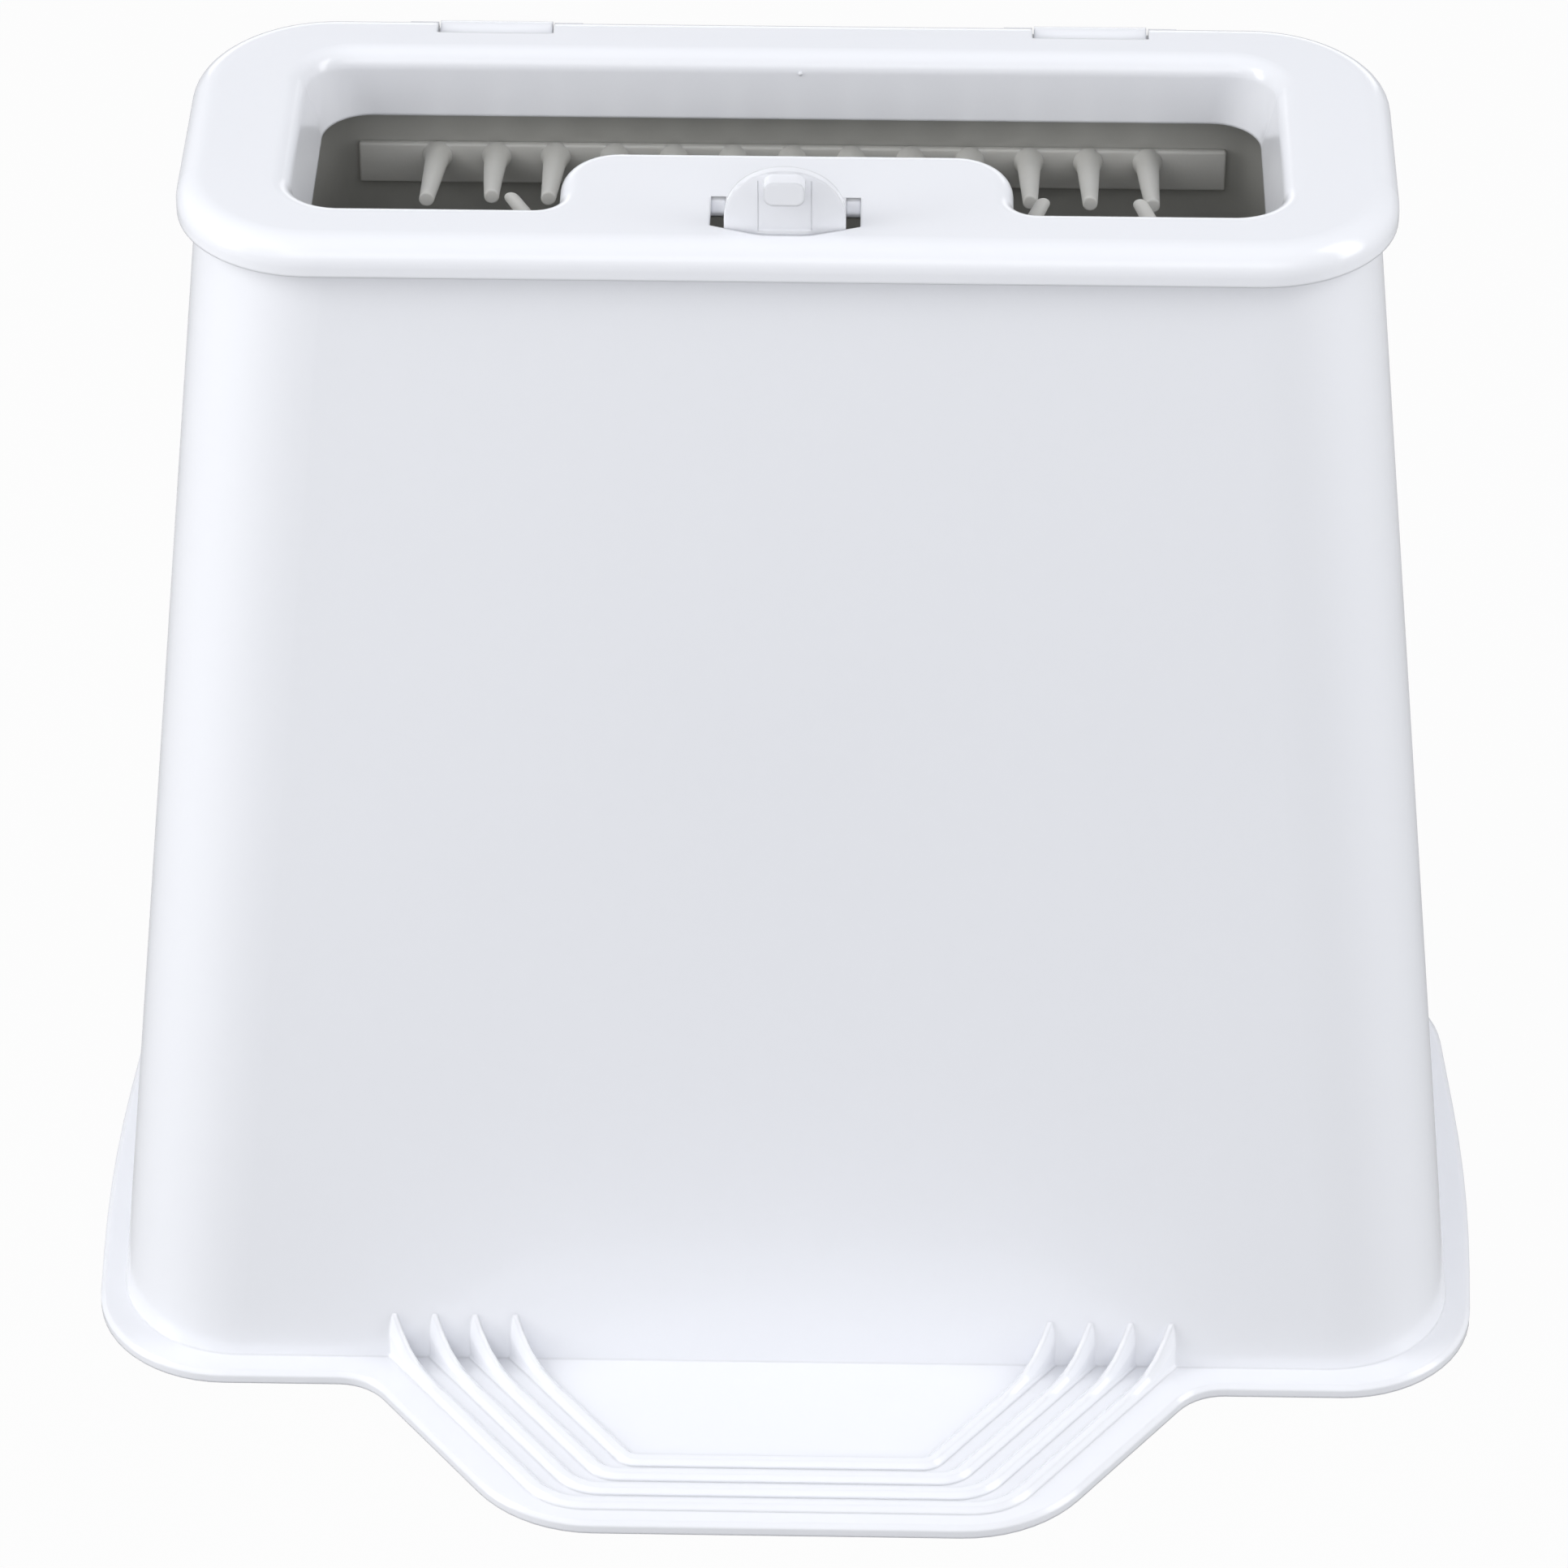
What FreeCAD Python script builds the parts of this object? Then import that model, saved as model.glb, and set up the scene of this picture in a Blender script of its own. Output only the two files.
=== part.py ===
import FreeCAD, Part
import math
import os
import Sketcher

# Pet paw washer: a tall double-walled bath for one paw, with a foot tab that a
# person stands on, a hinged lid with a long mouth, a snap latch, and silicone
# finger strips on both long walls of the inner tub.
# Frame: +Z up, X along the length, -Y towards the foot tab. The sub-parts are
# drawn about the middle of the shell and then shifted, so that the origin
# lies under the middle of the whole washer's outline.

# ---------------------------------------------------------------- dimensions
DIMENSIONS = (
    # outer shell: a skirt that widens towards the ground
    ("shell_height", 268.0),
    ("shell_base_half_x", 148.4),
    ("shell_base_half_y", 70.7),
    ("shell_lean", 27.0),
    ("shell_corner", 28.0),
    ("shell_wall", 2.5),
    # ground flange round the shell's foot, its sides slightly bowed
    ("flange_thickness", 3.0),
    ("flange_bevel", 1.0),
    ("flange_margin_y", 5.8),
    ("flange_front_margin_x", 3.5),
    ("flange_rear_margin_x", 2.1),
    ("flange_bow_margin_x", 7.3),
    ("flange_bow_y", 5.0),
    ("flange_bow_radius", 500.0),
    ("flange_corner", 30.0),
    # foot tab
    ("tab_length", 47.5),
    ("tab_tip_half_x", 55.5),
    ("tab_flare", 36.0),
    ("tab_tip_corner", 32.0),
    ("tab_root_corner", 13.0),
    # grip ribs on the tab, counted from the outside in
    ("rib_count", 4),
    ("rib_width", 3.8),
    ("rib_height", 1.5),
    ("rib_bevel", 1.1),
    ("rib_side_inset", 11.2),
    ("rib_side_pitch", 8.9),
    ("rib_front_inset", 6.1),
    ("rib_front_pitch", 4.67),
    ("rib_corner", 14.5),
    ("rib_corner_step", 3.6),
    ("gusset_rise", 10.5),
    ("gusset_reach", 15.0),
    # ledge inside the shell that carries the tub
    ("ledge_drop", 8.0),
    ("ledge_thickness", 2.0),
    ("ledge_clearance", 0.6),
    # inner tub
    ("tub_inset_x", 14.4),
    ("tub_inset_y", 9.3),
    ("tub_corner", 12.0),
    ("tub_draft", 1.0),
    ("tub_wall", 2.0),
    ("tub_floor_height", 4.0),
    ("tub_rim_height", 2.5),
    ("tub_rim_margin", 0.9),
    # brush strips: a bar with a row of tapered fingers
    ("bar_end_gap", 15.0),
    ("bar_height", 9.4),
    ("bar_depth", 1.8),
    ("bar_round", 0.8),
    ("finger_end_margin", 10.0),
    ("finger_pitch", 12.55),
    ("finger_length", 30.0),
    ("finger_root_radius", 2.15),
    ("finger_tip_radius", 1.35),
    ("finger_tilt", 12.5),
    ("finger_rise", 2.0),
    ("finger_sunk", 0.5),
    ("brush_drop", 14.2),
    ("brush_row_pitch", 54.0),
    # lid
    ("lid_overhang_x", 3.6),
    ("lid_overhang_y", 3.4),
    ("lid_corner", 29.0),
    ("lid_gap", 0.8),
    ("lid_height", 7.8),
    ("lid_edge_round", 5.5),
    ("lid_plate", 2.5),
    ("lid_rim", 3.0),
    # long mouth in the lid with a skirt that guides the paw into the tub
    ("mouth_inset_x", 5.0),
    ("mouth_inset_y", 4.4),
    ("mouth_corner", 10.0),
    ("mouth_end_draft", 13.0),
    ("skirt_depth", 15.1),
    ("skirt_wall", 2.3),
    ("mouth_edge_round", 4.0),
    # tongue that narrows the middle of the mouth
    ("tongue_half_x", 46.2),
    ("tongue_length", 22.4),
    ("tongue_corner", 12.0),
    ("tongue_root_round", 5.0),
    # latch flap, freed from the lid by two slots and a crescent
    ("flap_half_x", 12.2),
    ("flap_length", 14.6),
    ("flap_root_gap", 0.3),
    ("slot_width", 3.0),
    ("crescent_inset", 5.5),
    ("crescent_bow", 3.6),
    ("crescent_flat", 5.0),
    ("crescent_width", 1.2),
    ("crescent_round", 10.0),
    # thumb plate and knob
    ("plate_height", 14.0),
    ("plate_half_x", 12.3),
    ("plate_thickness", 2.0),
    ("plate_setback", 1.6),
    ("plate_sag", 1.3),
    ("plate_bow_radius", 36.0),
    ("knob_half_x", 4.15),
    ("knob_height", 5.4),
    ("knob_drop", 0.6),
    ("knob_reach", 3.6),
    ("knob_round", 2.0),
    # hook under the flap and its catch on the shell
    ("hook_half_x", 6.0),
    ("hook_wall_gap", 2.2),
    ("hook_tub_gap", 2.1),
    ("hook_thickness", 1.6),
    ("tooth_reach", 0.8),
    ("tooth_height", 1.4),
    ("catch_depth", 0.6),
    ("catch_height", 1.4),
    ("catch_half_x", 7.0),
    # hinge
    ("hinge_inset", 2.6),
    ("hinge_x", 62.75),
    ("pin_radius", 1.5),
    ("pin_clearance", 0.05),
    ("pin_grip", 4.0),
    ("knuckle_radius", 3.0),
    ("knuckle_drop", 0.8),
    ("knuckle_foot_drop", 5.5),
    ("notch_width", 24.5),
    ("notch_depth", 8.1),
    ("notch_gap", 0.4),
    ("boss_width", 6.0),
)

doc = FreeCAD.newDocument("paw_washer")
sizes = doc.addObject("Spreadsheet::Sheet", "sizes")
for row, (alias, number) in enumerate(DIMENSIONS, start=1):
    sizes.set("A%d" % row, alias)
    sizes.set("B%d" % row, str(number))
    sizes.setAlias("B%d" % row, alias)
doc.recompute()

# Places that follow from the dimensions, as expressions over the sheet.
FLANGE_Y = "(sizes.shell_base_half_y + sizes.flange_margin_y)"
TAB_REACH = f"({FLANGE_Y} + sizes.tab_length)"
CENTRE_SHIFT = "(sizes.tab_length / 2)"
TAB_SLOPE = "(sizes.tab_flare / sizes.tab_length)"
SHELL_TOP_X = "(sizes.shell_base_half_x - sizes.shell_lean)"
SHELL_TOP_Y = "(sizes.shell_base_half_y - sizes.shell_lean)"
LEDGE_TOP = "(sizes.shell_height - sizes.ledge_drop)"
TUB_X = f"({SHELL_TOP_X} - sizes.tub_inset_x)"
TUB_Y = f"({SHELL_TOP_Y} - sizes.tub_inset_y)"
TUB_TOP = f"({LEDGE_TOP} + sizes.tub_rim_height)"
LID_X = f"({SHELL_TOP_X} + sizes.lid_overhang_x)"
LID_Y = f"({SHELL_TOP_Y} + sizes.lid_overhang_y)"
LID_BOTTOM = "(sizes.shell_height + sizes.lid_gap)"
LID_TOP = f"({LID_BOTTOM} + sizes.lid_height)"
MOUTH_X = f"({TUB_X} - sizes.mouth_inset_x)"
MOUTH_Y = f"({TUB_Y} - sizes.mouth_inset_y)"
SKIRT_BOTTOM = f"({LID_TOP} - sizes.skirt_depth)"
TONGUE_REAR = f"({MOUTH_Y} - sizes.tongue_length)"
CRESCENT_APEX = f"({LID_Y} - sizes.crescent_inset)"
FLAP_ROOT = f"({CRESCENT_APEX} - sizes.flap_length)"
PLATE_FRONT = f"({CRESCENT_APEX} - sizes.plate_setback)"
PLATE_TOP = f"({LID_TOP} + sizes.plate_height)"
KNOB_TOP = f"({PLATE_TOP} - sizes.knob_drop)"
HOOK_FRONT = f"({SHELL_TOP_Y} - sizes.shell_wall - sizes.hook_wall_gap)"
HOOK_BOTTOM = f"({TUB_TOP} + sizes.hook_tub_gap)"
HINGE_Y = f"({LID_Y} - sizes.hinge_inset)"
HINGE_Z = f"({LID_TOP} - sizes.knuckle_drop - sizes.knuckle_radius)"
SHELL_LEAN_ANGLE = "atan(sizes.shell_lean / sizes.shell_height)"
NOTCH_INNER = "(sizes.hinge_x - sizes.notch_width / 2)"
NOTCH_OUTER = "(sizes.hinge_x + sizes.notch_width / 2)"


# ------------------------------------------------------------------- helpers
def number(expression):
    """Value of an expression over the sheet."""
    return float(sizes.evalExpression(expression))


def new_body(name):
    body = doc.addObject("PartDesign::Body", name)
    body.Label = name
    return body


def origin_plane(body, role):
    return next(item for item in body.Origin.OriginFeatures if item.Role == role)


def new_sketch(body, name, role, offset):
    """Sketch on one of the body's own origin planes, offset along its normal."""
    sketch = body.newObject("Sketcher::SketchObject", name)
    sketch.AttachmentSupport = [(origin_plane(body, role), "")]
    sketch.MapMode = "FlatFace"
    sketch.setExpression("AttachmentOffset.Base.z", offset)
    return sketch


def draw_outline(sketch, corners):
    """Closed outline through corners (x, y, radius), each an expression over
    the sheet; a radius of None leaves the corner sharp. Every corner and
    radius is a named constraint bound to its expression."""
    first = sketch.GeometryCount
    places = [FreeCAD.Vector(number(x), number(y), 0) for x, y, _ in corners]
    count = len(corners)
    ends = []
    centres = []
    for index, (_, _, radius) in enumerate(corners):
        here = places[index]
        before = (places[index - 1] - here).normalize()
        after = (places[(index + 1) % count] - here).normalize()
        if radius is None:
            ends.append((here, here))
            centres.append(None)
            continue
        half_angle = before.getAngle(after) / 2
        reach = number(radius) / math.tan(half_angle)
        ends.append((here + before * reach, here + after * reach))
        inward = (before + after).normalize()
        centres.append(here + inward * (number(radius) / math.sin(half_angle)))
    lines = []
    for index in range(count):
        start = ends[index][1]
        stop = ends[(index + 1) % count][0]
        lines.append(sketch.addGeometry(Part.LineSegment(start, stop), False))
    for index, (x, y, radius) in enumerate(corners):
        incoming = lines[index - 1]
        outgoing = lines[index]
        tag = "c%d_%d" % (first, index)
        if radius is None:
            sketch.addConstraint(Sketcher.Constraint("Coincident", incoming, 2, outgoing, 1))
            target = outgoing
        else:
            target = add_rounded_corner(sketch, incoming, outgoing, ends[index], centres[index],
                                        places[index], number(radius), radius, tag)
        for letter, value, kind in (("x", x, "DistanceX"), ("y", y, "DistanceY")):
            size = number(value)
            place = sketch.addConstraint(Sketcher.Constraint(kind, -1, 1, target, 1, size))
            sketch.renameConstraint(place, tag + letter)
            sketch.setExpression("Constraints." + tag + letter, value)


def add_rounded_corner(sketch, incoming, outgoing, tangent_points, centre, corner, size, radius, tag):
    """Arc between two lines, with a construction point at their crossing."""
    start, stop = tangent_points
    middle = centre + (corner - centre).normalize() * size
    arc = sketch.addGeometry(Part.Arc(start, middle, stop), False)
    clockwise = (start - centre).cross(stop - centre).z < 0
    arc_start, arc_end = (2, 1) if clockwise else (1, 2)
    sketch.addConstraint(Sketcher.Constraint("Tangent", incoming, 2, arc, arc_start))
    sketch.addConstraint(Sketcher.Constraint("Tangent", outgoing, 1, arc, arc_end))
    rounding = sketch.addConstraint(Sketcher.Constraint("Radius", arc, size))
    sketch.renameConstraint(rounding, tag + "r")
    sketch.setExpression("Constraints." + tag + "r", radius)
    point = sketch.addGeometry(Part.Point(corner), True)
    sketch.addConstraint(Sketcher.Constraint("PointOnObject", point, 1, incoming))
    sketch.addConstraint(Sketcher.Constraint("PointOnObject", point, 1, outgoing))
    return point


def rectangle(half_x, half_y, radius):
    """Corners of a rectangle about the origin."""
    return [
        ("-(%s)" % half_x, "-(%s)" % half_y, radius),
        (half_x, "-(%s)" % half_y, radius),
        (half_x, half_y, radius),
        ("-(%s)" % half_x, half_y, radius),
    ]


def box_corners(x_low, x_high, y_low, y_high, radius=None):
    return [(x_low, y_low, radius), (x_high, y_low, radius), (x_high, y_high, radius), (x_low, y_high, radius)]


def outline_sketch(body, name, role, offset, *outlines):
    sketch = new_sketch(body, name, role, offset)
    for corners in outlines:
        draw_outline(sketch, corners)
    doc.recompute()
    return sketch


def pad(body, sketch, length, backwards=False):
    feature = body.newObject("PartDesign::Pad", sketch.Name + "_pad")
    feature.Profile = sketch
    feature.setExpression("Length", length)
    feature.Reversed = backwards
    doc.recompute()
    return feature


def pocket(body, sketch, length, backwards=False):
    """Cut, checked by volume: one that points away from the solid cuts nothing."""
    volume_before = body.Shape.Volume
    feature = body.newObject("PartDesign::Pocket", sketch.Name + "_pocket")
    feature.Profile = sketch
    feature.setExpression("Length", length)
    feature.Reversed = backwards
    doc.recompute()
    if body.Shape.Volume > volume_before - 1e-3:
        raise RuntimeError(feature.Name + " cuts nothing")
    return feature


def lean_faces(body, name, angle, at_top, wanted):
    """Draft: tilts the faces for which wanted(face) holds about the level face
    at the top or bottom of the last feature, so that it narrows away from it."""
    base = body.Tip
    up = 1 if at_top else -1
    level = [item for item in base.Shape.Faces if item.normalAt(0, 0).z * up > 0.99]
    edge_height = max(item.CenterOfMass.z * up for item in level)
    hinge_face = next(item for item in level if abs(item.CenterOfMass.z * up - edge_height) < 1e-6)
    feature = body.newObject("PartDesign::Draft", name)
    feature.Base = (base, face_names(base, wanted))
    feature.NeutralPlane = (base, face_names(base, hinge_face.isSame))
    feature.Reversed = at_top
    feature.setExpression("Angle", angle)
    doc.recompute()
    return feature


def face_names(feature, wanted):
    return ["Face%d" % (index + 1) for index, face in enumerate(feature.Shape.Faces) if wanted(face)]


def is_upright(face):
    return abs(face.normalAt(0, 0).z) < 0.01


def is_corner(edge):
    """Edge that climbs, such as a box's upright corner."""
    return edge.BoundBox.ZLength > 0.5 * math.hypot(edge.BoundBox.XLength, edge.BoundBox.YLength)


def mirror(body, name, originals):
    feature = body.newObject("PartDesign::Mirrored", name)
    feature.Originals = originals
    feature.MirrorPlane = (origin_plane(body, "YZ_Plane"), [""])
    body.Tip = feature
    doc.recompute()
    return feature


def round_edges(body, name, radius, wanted):
    """Fillet on every edge of the body for which wanted(edge) holds."""
    return dress_edges(body, "PartDesign::Fillet", name, "Radius", radius, wanted)


def bevel_edges(body, name, size, wanted):
    """Chamfer on every edge of the body for which wanted(edge) holds."""
    return dress_edges(body, "PartDesign::Chamfer", name, "Size", size, wanted)


def dress_edges(body, kind, name, size_name, size, wanted):
    base = body.Tip
    names = ["Edge%d" % (index + 1) for index, edge in enumerate(base.Shape.Edges) if wanted(edge)]
    feature = body.newObject(kind, name)
    feature.Base = (base, names)
    feature.setExpression(size_name, size)
    doc.recompute()
    return feature


def lies_at_height(edge, height):
    box = edge.BoundBox
    return abs(box.ZMin - height) < 1e-3 and abs(box.ZMax - height) < 1e-3


# --------------------------------------------------------------- outer shell
def flange_outline():
    """Ground flange and foot tab in one outline."""
    base = "sizes.shell_base_half_x"
    right = [
        ("sizes.tab_tip_half_x", f"-{TAB_REACH}", "sizes.tab_tip_corner"),
        ("(sizes.tab_tip_half_x + sizes.tab_flare)", f"-{FLANGE_Y}", "sizes.tab_root_corner"),
        (f"({base} + sizes.flange_front_margin_x)", f"-{FLANGE_Y}", "sizes.flange_corner"),
        (f"({base} + sizes.flange_bow_margin_x)", "-sizes.flange_bow_y", "sizes.flange_bow_radius"),
        (f"({base} + sizes.flange_rear_margin_x)", FLANGE_Y, "sizes.flange_corner"),
    ]
    left = [("-" + x, y, radius) for x, y, radius in reversed(right)]
    return right + left


def rib_wall_x(index):
    """Where a rib's middle line meets the foot of the shell's front wall."""
    tab_side = f"sizes.tab_tip_half_x + sizes.tab_flare + sizes.flange_margin_y * {TAB_SLOPE}"
    return f"({tab_side} - sizes.rib_side_inset - {index} * sizes.rib_side_pitch)"


def rib_outline(index):
    """One grip rib: a band of even width that leaves the wall, follows the
    tab's slanted side, crosses the tip and comes back."""
    front = f"({TAB_REACH} - sizes.rib_front_inset - {index} * sizes.rib_front_pitch)"
    middle_radius = f"(sizes.rib_corner - {index} * sizes.rib_corner_step)"
    sideways = f"(sizes.rib_width / 2 * sqrt(1 + {TAB_SLOPE} ^ 2))"
    buried = "(sizes.shell_base_half_y - sizes.shell_wall / 2)"
    edges = []
    for side in (1, -1):
        front_y = f"({front} + {side} * sizes.rib_width / 2)"
        edge_x = f"({rib_wall_x(index)} + {side} * {sideways})"
        tip_x = f"({edge_x} - ({front_y} - sizes.shell_base_half_y) * {TAB_SLOPE})"
        root_x = f"({edge_x} - ({buried} - sizes.shell_base_half_y) * {TAB_SLOPE})"
        tip = (tip_x, "-" + front_y, f"({middle_radius} + {side} * sizes.rib_width / 2)")
        edges.append([tip, (root_x, "-" + buried, None)])
    outer, inner = edges
    right = outer + inner[::-1]
    left = [("-" + x, y, radius) for x, y, radius in right]
    return right + left[2:][::-1] + left[:2][::-1]


def gusset(name, index, side):
    """Pointed foot of a rib that sweeps up the wall of the shell."""
    slope = number(TAB_SLOPE)
    wall_x = number(rib_wall_x(index))
    foot_y = number("sizes.shell_base_half_y")
    buried = number("sizes.shell_wall / 2")
    base = number("sizes.flange_thickness")
    half = number("sizes.rib_width / 2")
    crest = number("sizes.rib_height") * 0.9
    rise = number("sizes.gusset_rise")
    reach = number("sizes.gusset_reach")
    arch = ((-1.0, 0.0), (1.0, 0.0), (0.82, 0.55), (0.28, 1.0), (-0.28, 1.0), (-0.82, 0.55))
    sections = []
    for step in (0.0, 0.12, 0.28, 0.5, 1.0):
        y = foot_y - buried + step * reach
        x = wall_x - (y - foot_y) * slope
        top = crest + rise * (1 - step) ** 3
        corners = [FreeCAD.Vector(side * (x + across * half), -y, base + up * top) for across, up in arch]
        sections.append(Part.makePolygon(corners + corners[:1]))
    feature = doc.addObject("Part::Feature", name)
    feature.Shape = Part.makeLoft(sections, True, True)
    return feature


def build_shell_hollow():
    """Core that hollows the shell: the shell's own form, a wall smaller."""
    body = doc.addObject("PartDesign::Body", "shell_hollow")
    inside = outline_sketch(body, "shell_inside", "XY_Plane", "0", rectangle(
        "sizes.shell_base_half_x - sizes.shell_wall", "sizes.shell_base_half_y - sizes.shell_wall", None))
    pad(body, inside, "sizes.shell_height")
    lean_faces(body, "hollow_sides", SHELL_LEAN_ANGLE, False, is_upright)
    round_edges(body, "hollow_corners", "sizes.shell_corner - sizes.shell_wall", is_corner)
    return body


def build_shell_outside():
    body = doc.addObject("PartDesign::Body", "shell_outside")
    outside = outline_sketch(body, "shell_plan", "XY_Plane", "0", rectangle(
        "sizes.shell_base_half_x", "sizes.shell_base_half_y", None))
    pad(body, outside, "sizes.shell_height")
    lean_faces(body, "shell_sides", SHELL_LEAN_ANGLE, False, is_upright)
    round_edges(body, "shell_corners", "sizes.shell_corner", is_corner)
    flange = outline_sketch(body, "flange", "XY_Plane", "0", flange_outline())
    pad(body, flange, "sizes.flange_thickness")
    bevel_edges(body, "flange_edge", "sizes.flange_bevel", is_flange_rim)
    ribs = outline_sketch(body, "grip_ribs", "XY_Plane", "sizes.flange_thickness",
                          *[rib_outline(index) for index in range(int(number("sizes.rib_count")))])
    pad(body, ribs, "sizes.rib_height")
    bevel_edges(body, "rib_flanks", "sizes.rib_bevel", is_rib_crest)
    return body


def build_shell_fittings():
    """Ledge inside the shell's top that carries the rim of the tub."""
    body = doc.addObject("PartDesign::Body", "shell_fittings")
    ledge = outline_sketch(
        body, "tub_ledge", "XY_Plane", LEDGE_TOP,
        rectangle(f"{SHELL_TOP_X} - sizes.shell_wall / 2", f"{SHELL_TOP_Y} - sizes.shell_wall / 2",
                  "sizes.shell_corner - sizes.shell_wall / 2"),
        rectangle(f"{TUB_X} + sizes.tub_wall + sizes.ledge_clearance",
                  f"{TUB_Y} + sizes.tub_wall + sizes.ledge_clearance", "sizes.tub_corner"))
    pad(body, ledge, "sizes.ledge_thickness", backwards=True)
    return body


def build_catch():
    body = doc.addObject("PartDesign::Body", "latch_catch")
    wall_inside = f"({SHELL_TOP_Y} - sizes.shell_wall)"
    catch = outline_sketch(body, "catch_plan", "XY_Plane", "sizes.shell_height", box_corners(
        "-sizes.catch_half_x", "sizes.catch_half_x", f"-({wall_inside} + sizes.shell_wall / 2)",
        f"-({wall_inside} - sizes.catch_depth)"))
    pad(body, catch, "sizes.catch_height", backwards=True)
    return body


def build_knuckle(name, side):
    body = doc.addObject("PartDesign::Body", name)
    start = f"{NOTCH_INNER} + sizes.notch_gap" if side > 0 else f"-({NOTCH_OUTER} - sizes.notch_gap)"
    section = outline_sketch(body, name + "_section", "YZ_Plane", start, knuckle_outline())
    pad(body, section, "sizes.notch_width - 2 * sizes.notch_gap")
    pin_bore(body, name + "_bore", start, "sizes.notch_width - 2 * sizes.notch_gap")
    return body


def knuckle_outline():
    """Rolled knuckle in section: a barrel round the pin on a web off the wall."""
    front = f"{HINGE_Y} - sizes.knuckle_radius"
    rear = f"{HINGE_Y} + sizes.knuckle_radius"
    top = f"{HINGE_Z} + sizes.knuckle_radius"
    barrel = "sizes.knuckle_radius * 0.99"
    foot = "sizes.shell_height - sizes.knuckle_foot_drop"
    return [
        (front, foot, None),
        (SHELL_TOP_Y, f"{foot} + sizes.shell_wall / 2", None),
        (rear, f"{HINGE_Z} - sizes.knuckle_radius", barrel),
        (rear, top, barrel),
        (front, top, barrel),
    ]


def pin_bore(body, name, start_x, length):
    feature = body.newObject("PartDesign::SubtractiveCylinder", name)
    feature.AttachmentSupport = [(origin_plane(body, "YZ_Plane"), "")]
    feature.MapMode = "FlatFace"
    feature.setExpression("AttachmentOffset.Base.x", HINGE_Y)
    feature.setExpression("AttachmentOffset.Base.y", HINGE_Z)
    feature.setExpression("AttachmentOffset.Base.z", start_x)
    feature.setExpression("Radius", "sizes.pin_radius + sizes.pin_clearance")
    feature.setExpression("Height", length)
    doc.recompute()
    return feature


def is_flange_rim(edge):
    """Upper outer edge of the flange and tab, not its foot line on the wall."""
    if not lies_at_height(edge, number("sizes.flange_thickness")):
        return False
    middle = edge.valueAt((edge.FirstParameter + edge.LastParameter) / 2)
    past_x = abs(middle.x) - number("sizes.shell_base_half_x - sizes.shell_corner")
    past_y = abs(middle.y) - number("sizes.shell_base_half_y - sizes.shell_corner")
    corner = number("sizes.shell_corner + 1")
    if past_x > 0 and past_y > 0:
        return math.hypot(past_x, past_y) > corner
    return max(past_x, past_y) > corner


def is_rib_crest(edge):
    crest = number("sizes.flange_thickness + sizes.rib_height")
    return lies_at_height(edge, crest) and edge.BoundBox.YMin < -number("sizes.shell_base_half_y + 1")


def build_outer_shell():
    outside = [build_shell_outside()]
    for index in range(int(number("sizes.rib_count"))):
        for side, word in ((-1, "left"), (1, "right")):
            outside.append(gusset(f"gusset_{word}_{index + 1}", index, side))
    solid = doc.addObject("Part::MultiFuse", "shell_solid")
    solid.Shapes = outside
    skin = doc.addObject("Part::Cut", "shell_skin")
    skin.Base = solid
    skin.Tool = build_shell_hollow()
    shell = doc.addObject("Part::MultiFuse", "outer_shell")
    shell.Label = "outer_shell"
    shell.Shapes = [skin, build_shell_fittings(), build_catch(),
                    build_knuckle("knuckle_left", -1), build_knuckle("knuckle_right", 1)]
    shell.setExpression("Placement.Base.y", CENTRE_SHIFT)
    doc.recompute()
    return shell


# ----------------------------------------------------------------- inner tub
def build_tub_outside():
    body = doc.addObject("PartDesign::Body", "tub_outside")
    plan = outline_sketch(body, "tub_plan", "XY_Plane", "sizes.tub_floor_height", rectangle(
        f"{TUB_X} + sizes.tub_wall", f"{TUB_Y} + sizes.tub_wall", None))
    pad(body, plan, f"{TUB_TOP} - sizes.tub_floor_height")
    lean_faces(body, "tub_sides", "sizes.tub_draft", True, is_upright)
    round_edges(body, "tub_corners", "sizes.tub_corner + sizes.tub_wall", is_corner)
    margin = "(sizes.shell_wall + sizes.tub_rim_margin)"
    rim = outline_sketch(body, "tub_rim", "XY_Plane", TUB_TOP, rectangle(
        f"{SHELL_TOP_X} - {margin}", f"{SHELL_TOP_Y} - {margin}", f"sizes.shell_corner - {margin}"))
    pad(body, rim, "sizes.tub_rim_height", backwards=True)
    return body


def build_tub_hollow():
    """Core that hollows the tub, with rounded upright corners."""
    body = doc.addObject("PartDesign::Body", "tub_hollow")
    floor = "(sizes.tub_floor_height + sizes.tub_wall)"
    inside = outline_sketch(body, "tub_inside", "XY_Plane", floor, rectangle(TUB_X, TUB_Y, None))
    pad(body, inside, f"{TUB_TOP} - {floor}")
    lean_faces(body, "hollow_walls", "sizes.tub_draft", True, is_upright)
    round_edges(body, "hollow_edges", "sizes.tub_corner", is_corner)
    return body


def build_inner_tub():
    tub = doc.addObject("Part::Cut", "inner_tub")
    tub.Label = "inner_tub"
    tub.Base = build_tub_outside()
    tub.Tool = build_tub_hollow()
    tub.setExpression("Placement.Base.y", CENTRE_SHIFT)
    doc.recompute()
    return tub


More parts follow.
